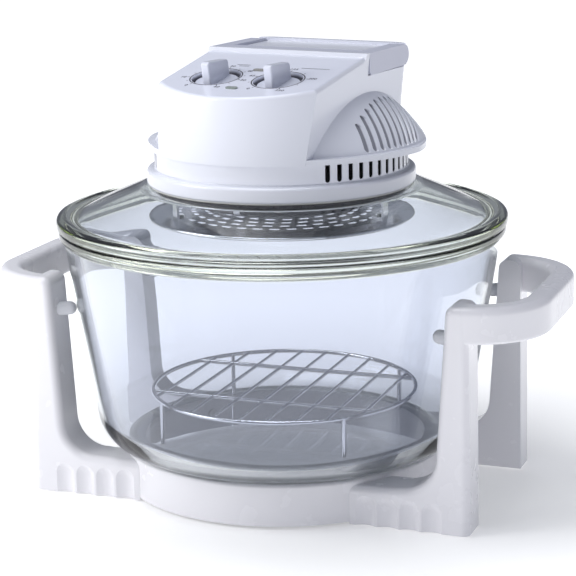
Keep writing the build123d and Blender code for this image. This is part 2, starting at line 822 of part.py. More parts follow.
# ---- knobs and controls ----
def knob(x):
    """Disc sunk in the panel with a wedge-shaped bar to grip."""
    disc = rod(knob_radius, -knob_recess_depth + seat_gap, -knob_disc_sunk)
    disc = fillet(disc.edges().sort_by(Axis.Z)[-1:], 0.6)
    half = knob_bar_length / 2
    side = outline(
        (-half, -knob_disc_sunk - 1, 0), (half, -knob_disc_sunk - 1, 0),
        (half, knob_bar_rear_height, 3.5), (-half, knob_bar_height, 2.5))
    bar = extrude(Plane.YZ * side, knob_bar_width / 2, both=True)
    flanks = bar.edges().filter_by(lambda e: abs(e.center().X) > knob_bar_width / 2 - 0.01)
    bar = fillet(flanks.filter_by(lambda e: e.center().Z > -knob_disc_sunk), 1.2)
    body = disc + bar - rod(knob_shaft_radius, -10, knob_bore_top)
    return panel_plane(x, knob_y) * body


def knob_shaft(x):
    low = control_top - seat_gap - control_depth / 2
    return panel_round(x, knob_y, knob_shaft_radius, low, knob_bore_top)


def control_case(x):
    body = Pos(0, 0, control_top - control_depth / 2) * Box(control_body, control_body, control_depth)
    return panel_plane(x, knob_y) * body - control_bore(x)


def control_bore(x):
    return panel_round(x, knob_y, knob_shaft_radius + running_gap, control_top - control_depth / 2 - 1, 5)


def thermostat_case(x):
    bulb = panel_round(x, knob_y, control_body / 2, control_top - thermostat_disc, control_top)
    contacts = Pos(0, 0, control_top - thermostat_disc - 3) * Box(control_body * 0.7, 14, 8)
    return bulb + panel_plane(x, knob_y) * contacts - control_bore(x)


def indicator_lens(y):
    return lens_shape(y, -housing_wall, lens_proud)


def neon_lamp(y):
    return panel_plane(0, y) * rod(neon_radius, -housing_wall - neon_length, -housing_wall)


# ---- reflector, lamp and guard ----
def reflector():
    top = spigot_bottom
    low = spigot_bottom - reflector_dish
    sheet = reflector_sheet
    flat = reflector_flat_radius
    dish = turned(
        (shaft_hole_radius, low, 0), (flat, low, 1), (reflector_radius - 3, top - sheet, 1),
        (reflector_radius, top - sheet, 0), (reflector_radius, top, 0), (reflector_radius - 3.4, top, 1),
        (flat - 0.4, low + sheet, 1), (shaft_hole_radius, low + sheet, 0))
    for radius, count in reflector_hole_rows:
        hole = rod(reflector_hole_radius, low - 1, top + 1)
        dish -= [place * hole for place in around(count, radius, radius)]
    for place in lamp_end_places():
        dish -= place * rod(lamp_stem_radius + seat_gap, low - 1, top + 1)
    for place in clip_places():
        dish -= place * Pos(0, 0, low) * Box(clip_sheet + 0.4, clip_width + 0.2, 8)
    return dish


def lamp_end_places():
    half = lamp_gap_angle / 2 - 5
    return [Rot(0, 0, lamp_gap_centre + sign * half) * Pos(lamp_ring_radius, 0, 0) for sign in (-1, 1)]


def clip_places():
    return [Rot(0, 0, angle) * Pos(lamp_ring_radius, 0, 0) for angle in clip_angles]


def halogen_lamp():
    start = lamp_gap_centre + lamp_gap_angle / 2
    path = CenterArc((0, 0), lamp_ring_radius, start, 360 - lamp_gap_angle)
    section = Plane(path @ 0, z_dir=path % 0) * Circle(lamp_tube_radius)
    return Pos(0, 0, lamp_height) * sweep(section, path)


def lamp_ends():
    """Ceramic blocks that close the tube's ends, with stems up through the reflector."""
    pieces = []
    for sign, place in zip((-1, 1), lamp_end_places()):
        length = radians(lamp_gap_angle / 2 - 1.5) * lamp_ring_radius * 0.62
        cap = place * Pos(0, 0, lamp_height) * Box(lamp_cap_width, length, lamp_cap_height)
        stem = place * rod(lamp_stem_radius, lamp_height, spigot_bottom + 1.5)
        cap -= Rot(0, 0, lamp_gap_centre + sign * (lamp_gap_angle / 2 + 10)) * lamp_tail_space(sign)
        pieces.append(cap + stem)
    return group(pieces)


def lamp_tail_space(sign):
    path = CenterArc((0, 0), lamp_ring_radius, -10, 20)
    section = Plane(path @ 0, z_dir=path % 0) * Circle(lamp_tube_radius + 0.02)
    return Pos(0, 0, lamp_height) * sweep(section, path)


def lamp_clips():
    inner = lamp_tube_radius + 0.05
    half = clip_width / 2
    hoop = Rot(90, 0, 0) * (Cylinder(inner + clip_sheet, clip_width) - Cylinder(inner, clip_width + 1))
    low = spigot_bottom - reflector_dish + reflector_sheet
    stem = block(-clip_sheet / 2, clip_sheet / 2, -half, half, lamp_height + inner + clip_sheet / 2, low)
    tab = block(-4, 2, -half, half, low, low + clip_sheet)
    return group([place * (Pos(0, 0, lamp_height) * hoop + stem + tab) for place in clip_places()])


def lamp_guard():
    top = guard_top
    sheet = guard_sheet
    guard = turned(
        (0, top - sheet, 0), (guard_flat_radius, top - sheet, 1),
        (guard_radius, top - sheet - guard_flare, 0), (guard_radius, top - guard_flare, 0),
        (guard_flat_radius, top, 1), (0, top, 0))
    guard += Pos(0, 0, top - guard_flare - sheet / 2) * Torus(guard_radius, guard_rim_wire)
    holes = []
    for row in range(guard_rows):
        radius = guard_first_row + row * guard_row_pitch
        count = int(2 * pi * radius / (guard_hole_length + guard_hole_web))
        for place in around(count, radius, 7 * row):
            slot = extrude(SlotOverall(guard_hole_length, guard_hole_width, rotation=90), 6)
            holes.append(place * Pos(0, 0, top - 4) * slot)
    guard -= holes
    for place in guard_post_places():
        guard -= place * screw_hole(top - 5, top + 5, -guard_screw_inset)
    return guard


def guard_post_places():
    return around(guard_post_count, guard_post_radius, guard_post_start)


def guard_posts():
    top = spigot_bottom - clamp_thickness
    half = guard_post_width / 2
    sheet = guard_post_sheet
    reach = guard_post_radius - clamp_screw_circle + 4
    strip = block(0, sheet, -half, half, guard_top, top)
    strip += block(-reach, sheet, -half, half, top - sheet, top)
    strip += block(-guard_foot, sheet, -half, half, guard_top, guard_top + sheet)
    strip -= screw_hole(top - 4, top + 4, clamp_screw_circle - guard_post_radius)
    strip -= screw_hole(guard_top - 2, guard_top + 4, -guard_screw_inset)
    return group([place * strip for place in guard_post_places()])


def guard_screws():
    seat = Pos(-guard_screw_inset, 0, guard_top - guard_sheet)
    length = guard_sheet + guard_post_sheet + 2
    return group([place * seat * screw(length) for place in guard_post_places()])


# ---- heat shield, insulation and motor ----
def standoff_places():
    reach = (-motor_ear_reach, motor_ear_reach)
    return [(x, y) for x in reach for y in reach]


def heat_shield():
    sheet = rod(shield_radius, floor_top, shield_top) - rod(shaft_hole_radius, 0, beyond)
    for x, y in standoff_places():
        sheet -= screw_hole(0, beyond, x, y)
    return sheet


def insulation_pad():
    return tube(insulation_radius, shaft_hole_radius, floor_top - insulation_thickness, floor_top)


def motor_standoffs():
    return group([rod(standoff_radius, shield_top, bell_bottom, x, y)
                  - screw_hole(bell_bottom - 8, bell_bottom + 1, x, y) for x, y in standoff_places()])


def motor_screws():
    down = Rot(180, 0, 0)
    seat = bell_bottom + motor_plate
    return group([Pos(x, y, seat) * down * screw(motor_plate + 7) for x, y in standoff_places()])


def end_bell(plate_from, wall_from, wall_to, ears):
    plate_to = plate_from + motor_plate
    bell = rod(motor_radius, plate_from, plate_to)
    bell += tube(motor_radius, motor_radius - motor_bell_wall, wall_from, wall_to)
    if ears:
        reach = motor_ear_reach * sqrt(2)
        half = motor_ear_round
        for turn in (45, 135):
            bell += Rot(0, 0, turn) * block(-reach, reach, -half, half, plate_from, plate_to)
            bell += [Rot(0, 0, turn) * rod(half, plate_from, plate_to, end) for end in (-reach, reach)]
        bell -= [screw_hole(0, beyond, x, y) for x, y in standoff_places()]
    bell += block(-bolt_reach - 4, bolt_reach + 4, -4, 4, plate_from, plate_to)
    bell -= rod(bearing_radius, 0, beyond)
    bell -= [screw_hole(0, beyond, x) for x in (-bolt_reach, bolt_reach)]
    return bell


def motor_bolts():
    length = motor_top - bell_bottom + 3
    return group([Pos(x, 0, bell_bottom) * screw(length) for x in (-bolt_reach, bolt_reach)])


def motor_stator():
    stack = rod(motor_radius, stack_bottom, stack_top) - rod(motor_bore_radius, 0, beyond)
    stack -= [place * rod(2.2, 0, beyond) for place in around(motor_slots, motor_bore_radius + 4)]
    return stack


def motor_windings():
    reach = motor_bell_height - 1
    low = tube(motor_radius - 5, motor_bore_radius + 1, stack_bottom - reach, stack_bottom)
    high = tube(motor_radius - 5, motor_bore_radius + 1, stack_top, stack_top + reach)
    return group([low, high])


def motor_bearings():
    bush = tube(bearing_radius, shaft_radius + running_gap, bell_bottom, bell_bottom + bearing_height)
    top_bush = tube(bearing_radius, shaft_radius + running_gap, motor_top - bearing_height, motor_top)
    return group([bush, top_bush])


def motor_rotor():
    return tube(motor_bore_radius - motor_air_gap, shaft_radius, stack_bottom + 0.5, stack_top - 0.5)


def fan_shaft():
    return rod(shaft_radius, shaft_bottom, shaft_top)


def fan(low, high, disc_z, radius, blades, sweep_back):
    """Hub, disc and blades, trimmed round."""
    wheel = rod(fan_hub_radius, low, high) + rod(radius * 0.62, disc_z, disc_z + fan_sheet)
    blade = block(fan_hub_radius - 2, radius, -fan_sheet / 2, fan_sheet / 2, low, high)
    for place in around(blades, 0):
        wheel += place * Pos(0, 5, 0) * Rot(0, 0, -sweep_back) * blade
    return (wheel & rod(radius, low, high)) - rod(shaft_radius, 0, beyond)


def convection_fan():
    disc = convection_high - fan_sheet
    return fan(convection_low, convection_high, disc, convection_fan_radius, convection_blades, 18)


def cooling_fan():
    high = fan_low + cooling_fan_height
    return fan(fan_low, high, fan_low, cooling_fan_radius, cooling_blades, 25)


def fan_nut():
    low = convection_low - nut_height
    nut = extrude(Pos(0, 0, low) * RegularPolygon(nut_radius, 6), nut_height)
    return nut - rod(shaft_radius, 0, beyond)


# ---- electrics inside the head ----
def safety_switch():
    """Micro switch under the grip; the plunger slides in its top."""
    top = handle_bottom - seat_gap - housing_wall
    case = Pos(0, plunger_y(), top - switch_height / 2) * Box(switch_length, switch_width, switch_height)
    return case - rod(plunger_radius + running_gap, top - plunger_bore, top + 1, 0, plunger_y())


def switch_plunger():
    top = handle_bottom - seat_gap
    return rod(plunger_radius, top - housing_wall - plunger_reach, top, 0, plunger_y())


def power_inlet():
    flange = Box(inlet_width + 2 * inlet_flange, inlet_wall, inlet_tall + 2 * inlet_flange)
    flange = Pos(0, inlet_wall / 2, 0) * flange
    body = Pos(0, -inlet_depth / 2, 0) * Box(inlet_width, inlet_depth, inlet_tall)
    room = (inlet_width - 2 * inlet_wall, inlet_cavity_depth + inlet_wall, inlet_tall - 2 * inlet_wall)
    cavity = Pos(0, inlet_wall - room[1] / 2, 0) * Box(*room)
    shape = flange + body - cavity
    for x, z in inlet_pin_spots():
        shape -= Pos(x, -inlet_depth / 2, z) * Box(inlet_pin_width, inlet_depth + 2, inlet_pin_tall)
    return inlet_place() * shape


def inlet_pin_spots():
    return [(-inlet_pin_pitch, -1.5), (0, 2), (inlet_pin_pitch, -1.5)]


def inlet_pins():
    y_high = inlet_wall - inlet_cavity_depth - inlet_wall + inlet_pin_length
    y_low = -inlet_depth - 6
    pieces = []
    for x, z in inlet_pin_spots():
        pin = Box(inlet_pin_width, y_high - y_low, inlet_pin_tall)
        pieces.append(inlet_place() * Pos(x, (y_low + y_high) / 2, z) * pin)
    return group(pieces)


def terminal_block():
    half = terminal_half
    top = shield_top + terminal_height
    body = block(-half, half, terminal_y - 6, terminal_y + 6, shield_top, top)
    return body - [rod(2, top - 7, top + 1, x, terminal_y) for x in (-terminal_pitch, 0, terminal_pitch)]


def thermal_cutout():
    base = rod(7, shield_top, shield_top + 5, cutout_x, cutout_y)
    return base + rod(4, shield_top + 5, shield_top + 9, cutout_x, cutout_y)


# ---- write every piece ----
write("base_ring", base_ring())
write("right_side_frame", right_frame)
write("left_side_frame", left_frame)
write("bowl_bumpers", group([bumper(angle) - right_frame - left_frame for angle in bumper_angles()]))
write("foot_pads", group([place * foot_pad(y) for y in (-foot_middle_y(), foot_middle_y())
                          for place in (Pos(0, 0, 0), Rot(0, 0, 180))]))
write("frame_screws", frame_screws())
write("glass_bowl", glass_bowl())
write("low_rack", low_rack())

write_head("glass_lid", glass_lid())
write_head("lid_gasket", lid_gasket())
write_head("clamp_ring", clamp_ring())
write_head("clamp_screws", clamp_screws())
write_head("lower_housing", lower_housing())
write_head("housing_screws", housing_screws())
write_head("upper_housing", upper_housing())
write_head("reflector", reflector())
write_head("halogen_lamp", halogen_lamp())
write_head("lamp_ends", lamp_ends())
write_head("lamp_clips", lamp_clips())
write_head("lamp_guard", lamp_guard())
write_head("guard_posts", guard_posts())
write_head("guard_screws", guard_screws())
write_head("heat_shield", heat_shield())
write_head("insulation_pad", insulation_pad())
write_head("motor_standoffs", motor_standoffs())
write_head("motor_screws", motor_screws())
write_head("motor_lower_bell", end_bell(bell_bottom, bell_bottom + motor_plate, stack_bottom, True))
upper_plate = motor_top - motor_plate
write_head("motor_upper_bell", end_bell(upper_plate, stack_top, upper_plate, False))
write_head("motor_stator", motor_stator())
write_head("motor_windings", motor_windings())
write_head("motor_bearings", motor_bearings())
write_head("motor_bolts", motor_bolts())
write_head("timer_body", control_case(-knob_x))
write_head("thermostat_body", thermostat_case(knob_x))
write_head("power_lens", indicator_lens(lens_front_y))
write_head("heat_lens", indicator_lens(lens_rear_y))
write_head("neon_lamps", group([neon_lamp(y) for y in (lens_front_y, lens_rear_y)]))
write_head("safety_switch", safety_switch())
write_head("power_inlet", power_inlet())
write_head("inlet_pins", inlet_pins())
write_head("terminal_block", terminal_block())
write_head("thermal_cutout", thermal_cutout())
write_head("handle_pivot_pins", group([pivot_pin(-1), pivot_pin(1)]))
write_head("carry_handle", carry_handle())
write_head("timer_knob", knob(-knob_x))
write_head("timer_shaft", knob_shaft(-knob_x))
write_head("thermostat_knob", knob(knob_x))
write_head("thermostat_shaft", knob_shaft(knob_x))
write_head("switch_plunger", switch_plunger())
write_head("motor_rotor", motor_rotor())
write_head("fan_shaft", fan_shaft())
write_head("convection_fan", convection_fan())
write_head("cooling_fan", cooling_fan())
write_head("fan_nut", fan_nut())
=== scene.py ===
import bmesh
import bpy
from math import atan, cos, pi, radians, sin
from mathutils import Matrix, Vector


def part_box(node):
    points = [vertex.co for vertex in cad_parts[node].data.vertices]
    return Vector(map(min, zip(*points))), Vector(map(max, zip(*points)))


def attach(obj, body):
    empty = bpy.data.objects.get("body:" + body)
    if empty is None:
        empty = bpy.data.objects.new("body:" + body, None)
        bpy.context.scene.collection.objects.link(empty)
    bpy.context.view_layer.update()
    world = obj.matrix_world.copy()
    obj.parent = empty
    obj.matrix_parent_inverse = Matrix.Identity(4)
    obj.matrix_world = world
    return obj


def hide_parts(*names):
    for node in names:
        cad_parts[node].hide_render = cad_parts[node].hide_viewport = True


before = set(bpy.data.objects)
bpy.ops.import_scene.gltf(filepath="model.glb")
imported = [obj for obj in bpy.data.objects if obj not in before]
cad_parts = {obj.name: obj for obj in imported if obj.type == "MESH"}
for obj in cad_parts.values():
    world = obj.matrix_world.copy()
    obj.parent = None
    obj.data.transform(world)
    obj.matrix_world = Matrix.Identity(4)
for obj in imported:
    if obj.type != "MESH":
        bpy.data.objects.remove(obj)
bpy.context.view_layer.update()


# ---- camera ----
# A long lens from the right of the front, a little above the glass lid, turned by less than a
# degree about its own axis.
camera_azimuth = radians(20.31)
camera_elevation = radians(13.35)
camera_distance = 1.4335
camera_roll = radians(-0.84)
camera_target = Vector((0, 0, 0.14925))
camera_back = Vector((
    sin(camera_azimuth) * cos(camera_elevation),
    -cos(camera_azimuth) * cos(camera_elevation),
    sin(camera_elevation)))
camera_data = bpy.data.cameras.new("camera")
camera_data.lens = 121.05
camera_data.sensor_width = 36
camera_data.shift_x = 0.0085
camera_data.shift_y = -0.0095
camera_data.clip_end = 50
camera = bpy.data.objects.new("camera", camera_data)
bpy.context.scene.collection.objects.link(camera)
camera_facing = camera_back.to_track_quat("Z", "Y").to_matrix().to_4x4()
camera_spot = Matrix.Translation(camera_target + camera_distance * camera_back)
camera.matrix_world = camera_spot @ camera_facing @ Matrix.Rotation(camera_roll, 4, "Z")
bpy.context.scene.camera = camera
bpy.context.scene.view_settings.view_transform = "Standard"


# ---- studio ----
# A wide white floor that glows more and more away from the object, and two soft boxes, a near one
# to the left and one overhead. The room adds a dim bluish light.
class Wire:
    """An output socket. Sums written with it add the Math nodes."""

    def __init__(self, finish, socket):
        self.finish = finish
        self.socket = socket

    def sum(self, operation, *terms):
        return self.finish.add("Math", {"operation": operation}, dict(enumerate(terms)))

    def __add__(self, other):
        return self.sum("ADD", self, other)

    def __radd__(self, other):
        return self.sum("ADD", other, self)

    def __sub__(self, other):
        return self.sum("SUBTRACT", self, other)

    def __rsub__(self, other):
        return self.sum("SUBTRACT", other, self)

    def __mul__(self, other):
        return self.sum("MULTIPLY", self, other)

    def __rmul__(self, other):
        return self.sum("MULTIPLY", other, self)

    def __pow__(self, other):
        return self.sum("POWER", self, other)

    def __abs__(self):
        return self.sum("ABSOLUTE", self)

    def sine(self):
        return self.sum("SINE", self)


class Finish:
    """A surface finish: one Principled shader and the nodes that vary it."""

    def __init__(self, name, **fixed):
        self.material = bpy.data.materials.new(name)
        self.material.use_nodes = True
        self.tree = self.material.node_tree
        self.shader = self.tree.nodes["Principled BSDF"]
        self.set(**fixed)

    def add(self, kind, settings=None, sockets=None, out=0):
        """A new node: its settings first, then the values or wires of its sockets."""
        node = self.tree.nodes.new("ShaderNode" + kind)
        for name, value in (settings or {}).items():
            setattr(node, name, value)
        self.join(node, sockets or {})
        return Wire(self, node.outputs[out])

    def join(self, node, sockets):
        for name, value in sockets.items():
            if isinstance(value, Wire):
                self.tree.links.new(value.socket, node.inputs[name])
            else:
                node.inputs[name].default_value = value

    def set(self, **sockets):
        """Sockets of the shader itself, their names written with underscores."""
        self.join(self.shader, {name.replace("_", " "): value for name, value in sockets.items()})

    def place(self):
        return self.add("TexCoord", out="Object")

    def axes(self):
        spot = self.place()
        parts = self.add("SeparateXYZ", None, {0: spot}).socket.node
        return [Wire(self, socket) for socket in parts.outputs]

    def noise(self, scale, detail=2.0, stretch=(1, 1, 1)):
        """Cloudy pattern from 0 to 1, its scale in lumps to the metre."""
        spot = self.add("Mapping", None, {"Vector": self.place(), "Scale": stretch})
        return self.add("TexNoise", None, {"Vector": spot, "Scale": scale, "Detail": detail})

    def step(self, value, low, high):
        """0 below low, 1 above high, and a soft step between."""
        limits = {"Value": value, "From Min": low, "From Max": high}
        return self.add("MapRange", {"interpolation_type": "SMOOTHSTEP"}, limits)

    def blend(self, factor, first, second):
        colours = {"Factor": factor, 6: first, 7: second}  # A and B of a colour Mix node
        return self.add("Mix", {"data_type": "RGBA"}, colours, out=2)

    def bump(self, height, depth):
        """Relief of a height from 0 to 1, its depth in metres."""
        relief = {"Height": height, "Distance": depth, "Strength": 1.0}
        self.set(Normal=self.add("Bump", None, relief))


def shade(red, green, blue):
    return (red, green, blue, 1.0)


def distance(*offsets):
    return sum(offset * offset for offset in offsets) ** 0.5


floor_dim_radius = 0.1
floor_bright_radius = 0.62
floor_half_width = 14
floor_finish = Finish("pale_floor", Roughness=0.8, Specular_IOR_Level=0.1, Emission_Strength=1.0)
floor_cloud = floor_finish.noise(3, 2)
floor_glow = floor_finish.step(distance(*floor_finish.axes()[:2]), floor_dim_radius, floor_bright_radius)
floor_finish.set(
    Emission_Color=floor_finish.blend(floor_glow, shade(0.26, 0.26, 0.26), shade(0.85, 0.85, 0.85)),
    Base_Color=floor_finish.blend(floor_cloud, shade(0.93, 0.93, 0.93), shade(0.95, 0.95, 0.95)))
floor_mesh = bpy.data.meshes.new("floor")
floor_sheet = bmesh.new()
bmesh.ops.create_grid(floor_sheet, x_segments=1, y_segments=1, size=floor_half_width)
floor_sheet.to_mesh(floor_mesh)
floor_sheet.free()
floor = bpy.data.objects.new("floor", floor_mesh)
floor_mesh.materials.append(floor_finish.material)
bpy.context.scene.collection.objects.link(floor)


def soft_box(name, place, aim, width, height, power, tint):
    """Rectangular studio light at place, facing aim."""
    light_data = bpy.data.lights.new(name, "AREA")
    light_data.shape = "RECTANGLE"
    light_data.size = width
    light_data.size_y = height
    light_data.energy = power
    light_data.color = tint
    light = bpy.data.objects.new(name, light_data)
    facing = (Vector(place) - Vector(aim)).to_track_quat("Z", "Y").to_matrix().to_4x4()
    light.matrix_world = Matrix.Translation(Vector(place)) @ facing
    bpy.context.scene.collection.objects.link(light)


soft_box("left", (-0.83, -0.54, 0.6), (0, 0, 0.2), 0.6, 0.6, 5.8, (1.0, 1.0, 1.0))
soft_box("overhead", (-0.3, -0.2, 1.7), (0, 0, 0.2), 1.0, 0.8, 11.5, (0.97, 0.98, 1.0))
room = bpy.data.worlds.new("room")
bpy.context.scene.world = room
room.use_nodes = True
room.node_tree.nodes["Background"].inputs["Color"].default_value = (0.8, 0.85, 1.0, 1)
room.node_tree.nodes["Background"].inputs["Strength"].default_value = 0.3


# ---- stand ----
# Ring under the bowl and two side frames with their carrying bands, injection moulded in glossy
# white plastic. The frames are screwed to the ring from below.
def dress(finish, *nodes):
    for node in nodes:
        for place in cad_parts[node].material_slots:
            place.material = finish.material


def moulded(name, light, shadow, gloss, grain=1.0):
    """Moulded plastic: faint clouding, a fine orange peel and a few dull patches from handling."""
    finish = Finish(name, IOR=1.48, Coat_Weight=0.25, Coat_Roughness=0.12)
    cloud = finish.noise(11, 3)
    peel = finish.noise(420, 2)
    handling = finish.step(finish.noise(17, 4), 0.5, 0.72)
    finish.set(Base_Color=finish.blend(cloud, light, shadow))
    finish.set(Roughness=gloss + 0.05 * finish.noise(60, 3) + 0.02 * handling)
    finish.bump(peel, 0.00002 * grain)
    return finish


stand_plastic = moulded("stand_plastic", shade(0.89, 0.88, 0.91), shade(0.86, 0.85, 0.885), 0.24)
dress(stand_plastic, "base_ring", "right_side_frame", "left_side_frame")


# ---- bumpers and foot pads ----
# Soft white rubber: round pads pressed into the frames, which the bowl touches, and oblong pads
# glued under the feet.
def rubber(name, light, shadow):
    """Matt rubber with a dusty bloom and a fine grain."""
    finish = Finish(name, IOR=1.5, Specular_IOR_Level=0.3)
    dust = finish.noise(70, 4)
    finish.set(Base_Color=finish.blend(dust, light, shadow))
    finish.set(Roughness=0.6 + 0.2 * dust)
    finish.bump(finish.noise(1500, 2), 0.00004)
    return finish


white_rubber = rubber("white_rubber", shade(0.88, 0.89, 0.93), shade(0.82, 0.83, 0.88))
dress(white_rubber, "bowl_bumpers", "foot_pads")


# ---- screws ----
# Zinc plated steel screws and the fan's nut, all through the stand, the head and the motor.
def metal(name, light, shadow, gloss, wear):
    """Plated or bare metal: cloudy tarnish, fine scratches and a slight unevenness."""
    finish = Finish(name, Metallic=1.0)
    tarnish = finish.noise(90, 4)
    scratches = finish.noise(350, 3, (1, 9, 1))
    finish.set(Base_Color=finish.blend(tarnish, light, shadow))
    finish.set(Roughness=gloss + wear * scratches)
    finish.bump(scratches, 0.00001)
    return finish


zinc = metal("zinc_plate", shade(0.72, 0.72, 0.7), shade(0.56, 0.57, 0.56), 0.22, 0.25)
dress(zinc, "frame_screws", "clamp_screws", "housing_screws", "guard_screws", "motor_screws", "motor_bolts",
      "fan_nut")


# ---- glass bowl ----
# Pressed and tempered glass, five millimetres thick, with a rolled flange that the lid sits on.
# Being thicker, the flange is greener than the wall, and its paler colour is a painted highlight.
rim_highlight_fade = 0.002


def glass(name, tint, rim_radius=1.0, rim_height=1.0):
    """Clear glass with a slow ripple and faint grease, and a painted highlight that makes the rim paler
    beyond a radius or height.
    """
    finish = Finish(name, IOR=1.5, Transmission_Weight=1.0)
    x, y, z = finish.axes()
    outside = finish.step(distance(x, y), rim_radius - rim_highlight_fade, rim_radius)
    above = finish.step(z, rim_height - rim_highlight_fade, rim_height)
    # Painted highlight: past the rim's radius or height the colour is blended to a paler shade.
    finish.set(Base_Color=finish.blend(outside + above, tint, shade(0.97, 0.98, 0.96)))
    depth = finish.add("VolumeAbsorption", None, {"Color": shade(0.88, 0.97, 0.5), "Density": 12.0})
    finish.tree.links.new(depth.socket, finish.tree.nodes["Material Output"].inputs["Volume"])
    finish.set(Roughness=0.004 + 0.02 * finish.step(finish.noise(9, 3), 0.52, 0.8))
    finish.bump(finish.noise(14, 1), 0.00012)
    return finish


spin_steps = 240


def lathe(corners, closed, round_segments=8):
    """Section of (radius, height, easing) corners, each rounded that far back, spun upright."""
    form = bmesh.new()
    points = [form.verts.new((radius, 0, height)) for radius, height, _ in corners]
    for here, there in zip(points, points[1:]):
        form.edges.new((here, there))
    if closed:
        form.edges.new((points[-1], points[0]))
    for point, (_, _, easing) in zip(points, corners):
        if easing:
            bmesh.ops.bevel(form, geom=[point], offset=easing, offset_type="OFFSET", affect="VERTICES",
                            segments=round_segments, profile=0.5, material=-1)
    bmesh.ops.spin(form, geom=form.verts[:] + form.edges[:], axis=(0, 0, 1), angle=2 * pi,
                   steps=spin_steps, use_merge=True)
    bmesh.ops.remove_doubles(form, verts=form.verts[:], dist=1e-6)
    bmesh.ops.recalc_face_normals(form, faces=form.faces[:])
    return form


def piece(name, form, body, finish, crease=40):
    """Object from a finished form, smooth except where two faces meet more sharply than crease."""
    mesh = bpy.data.meshes.new(name)
    form.to_mesh(mesh)
    form.free()
    mesh.shade_smooth()
    mesh.set_sharp_from_angle(angle=radians(crease))
    mesh.materials.append(finish.material)
    item = bpy.data.objects.new(name, mesh)
    bpy.context.scene.collection.objects.link(item)
    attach(item, body)
    return item


bowl_low, bowl_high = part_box("glass_bowl")
bowl_foot = bowl_low.z
bowl_rim = bowl_high.z
bowl_wall = 0.005
bowl_bottom = 0.006
bowl_outside = bowl_high.x - 0.0038
bowl_belly = bowl_outside - 0.0096
bowl_belly_height = (bowl_foot + bowl_rim) / 2 + 0.0075
bowl_belly_round = 0.055
bowl_base = bowl_outside - 0.0243
flange_foot = bowl_rim - 0.0088
flange_edge = bowl_rim - 0.0066
bowl_form = lathe([
    (0, bowl_foot, 0),
    (bowl_base, bowl_foot, 0.0225),
    (bowl_belly, bowl_belly_height, bowl_belly_round),
    (bowl_outside, flange_foot, 0.001),
    (bowl_high.x, flange_edge, 0.0026),
    (bowl_high.x, bowl_rim, 0.0022),
    (bowl_outside - bowl_wall, bowl_rim, 0.0018),
    (bowl_belly - bowl_wall, bowl_belly_height, bowl_belly_round),
    (bowl_base - bowl_wall + 0.001, bowl_foot + bowl_bottom, 0.021),
    (0, bowl_foot + bowl_bottom, 0)], False, 14)
# The bowl's grey-blue tint is darkened as a painted reflection of a dark room.
bowl_glass = glass("bowl_glass", shade(0.76, 0.78, 0.87), rim_height=flange_foot)
clear_bowl = piece("clear_bowl", bowl_form, "bowl", bowl_glass)
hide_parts("glass_bowl")


# ---- low rack ----
# Ring, bars and bent legs of steel wire, welded and chromed.
chrome_wire = metal("chromed_wire", shade(0.83, 0.83, 0.85), shade(0.72, 0.72, 0.75), 0.07, 0.12)
dress(chrome_wire, "low_rack")


# ---- glass lid ----
# Pressed glass like the bowl's, with a thick rounded rim, a lip that drops into the bowl and a
# flat land round the hole where the head is clamped.
lid_low, lid_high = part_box("glass_lid")
lid_foot = lid_low.z + 0.006
lid_land = lid_high.z
lid_edge = lid_high.x
lid_hole = 0.08
land_edge = 0.1
land_wall = 0.005
shoulder_round = 0.02
lip_outside = lid_edge - 0.0106
lip_inside = lid_edge - 0.0146
lid_form = lathe([
    (lid_edge, lid_foot, 0.0015),
    (lid_edge, lid_foot + 0.0065, 0.002),
    (lid_edge - 0.0065, lid_foot + 0.0085, 0.002),
    (lid_edge - 0.0125, lid_foot + 0.006, 0.003),
    (0.127, lid_foot + 0.0181, shoulder_round),
    (land_edge, lid_land, 0.004),
    (lid_hole, lid_land, 0),
    (lid_hole, lid_land - land_wall, 0),
    (land_edge - 0.001, lid_land - land_wall, 0.004),
    (0.125, lid_foot + 0.0128, shoulder_round),
    (lid_edge - 0.0151, lid_foot + 0.001, 0.0015),
    (lip_inside, lid_low.z, 0.0008),
    (lip_outside, lid_low.z, 0.0008),
    (lip_outside, lid_foot, 0.0005)], True)
# The lid's grey-blue tint is darkened as a painted reflection of a dark room.
lid_glass = glass("lid_glass", shade(0.84, 0.86, 0.92), rim_radius=lid_edge - 0.0135)
clear_lid = piece("clear_lid", lid_form, "lid", lid_glass)
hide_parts("glass_lid")


# ---- lid clamp ----
# Flat silicone gasket over the glass, and under it a chromed steel ring that the screws pull up.
dress(rubber("silicone", shade(0.74, 0.74, 0.72), shade(0.64, 0.64, 0.62)), "lid_gasket")
chrome_sheet = metal("chromed_sheet", shade(0.9, 0.9, 0.91), shade(0.8, 0.8, 0.83), 0.16, 0.14)
dress(chrome_sheet, "clamp_ring", "lamp_guard", "guard_posts")


# ---- head housings ----
# Two mouldings of glossy white plastic. The bore of the drum and the insides behind the vent slits are
# painted near black as shade. The sloped control panel has a pale printed film with a sunk well for each
# knob, and the rear hoods have slanted vents with open slits. The walls of the knob wells and the floors of
# the vent grooves are painted dark as shade.
head_turn = radians(-8)
head_place = Matrix.Rotation(head_turn, 4, "Z")
panel_slope = 0.19
panel_front_y = -0.091
panel_front_height = 0.2987
ridge_y = 0.009
knob_across = 0.0248
knob_along = -0.049
well_radius = 0.0183
hood_centre = (0, 0.015, 0.1908)
hood_ball = 0.1188
hood_from = 0.058
drum_bore = 0.0914
drum_floor = 0.2315
white_light = shade(0.83, 0.845, 0.915)
white_shadow = shade(0.8, 0.815, 0.895)
unlit = shade(0.02, 0.02, 0.022)


def head_axes(finish):
    """Across, along and up in the head's own frame."""
    x, y, z = finish.axes()
    return x * cos(head_turn) + y * sin(head_turn), y * cos(head_turn) - x * sin(head_turn), z


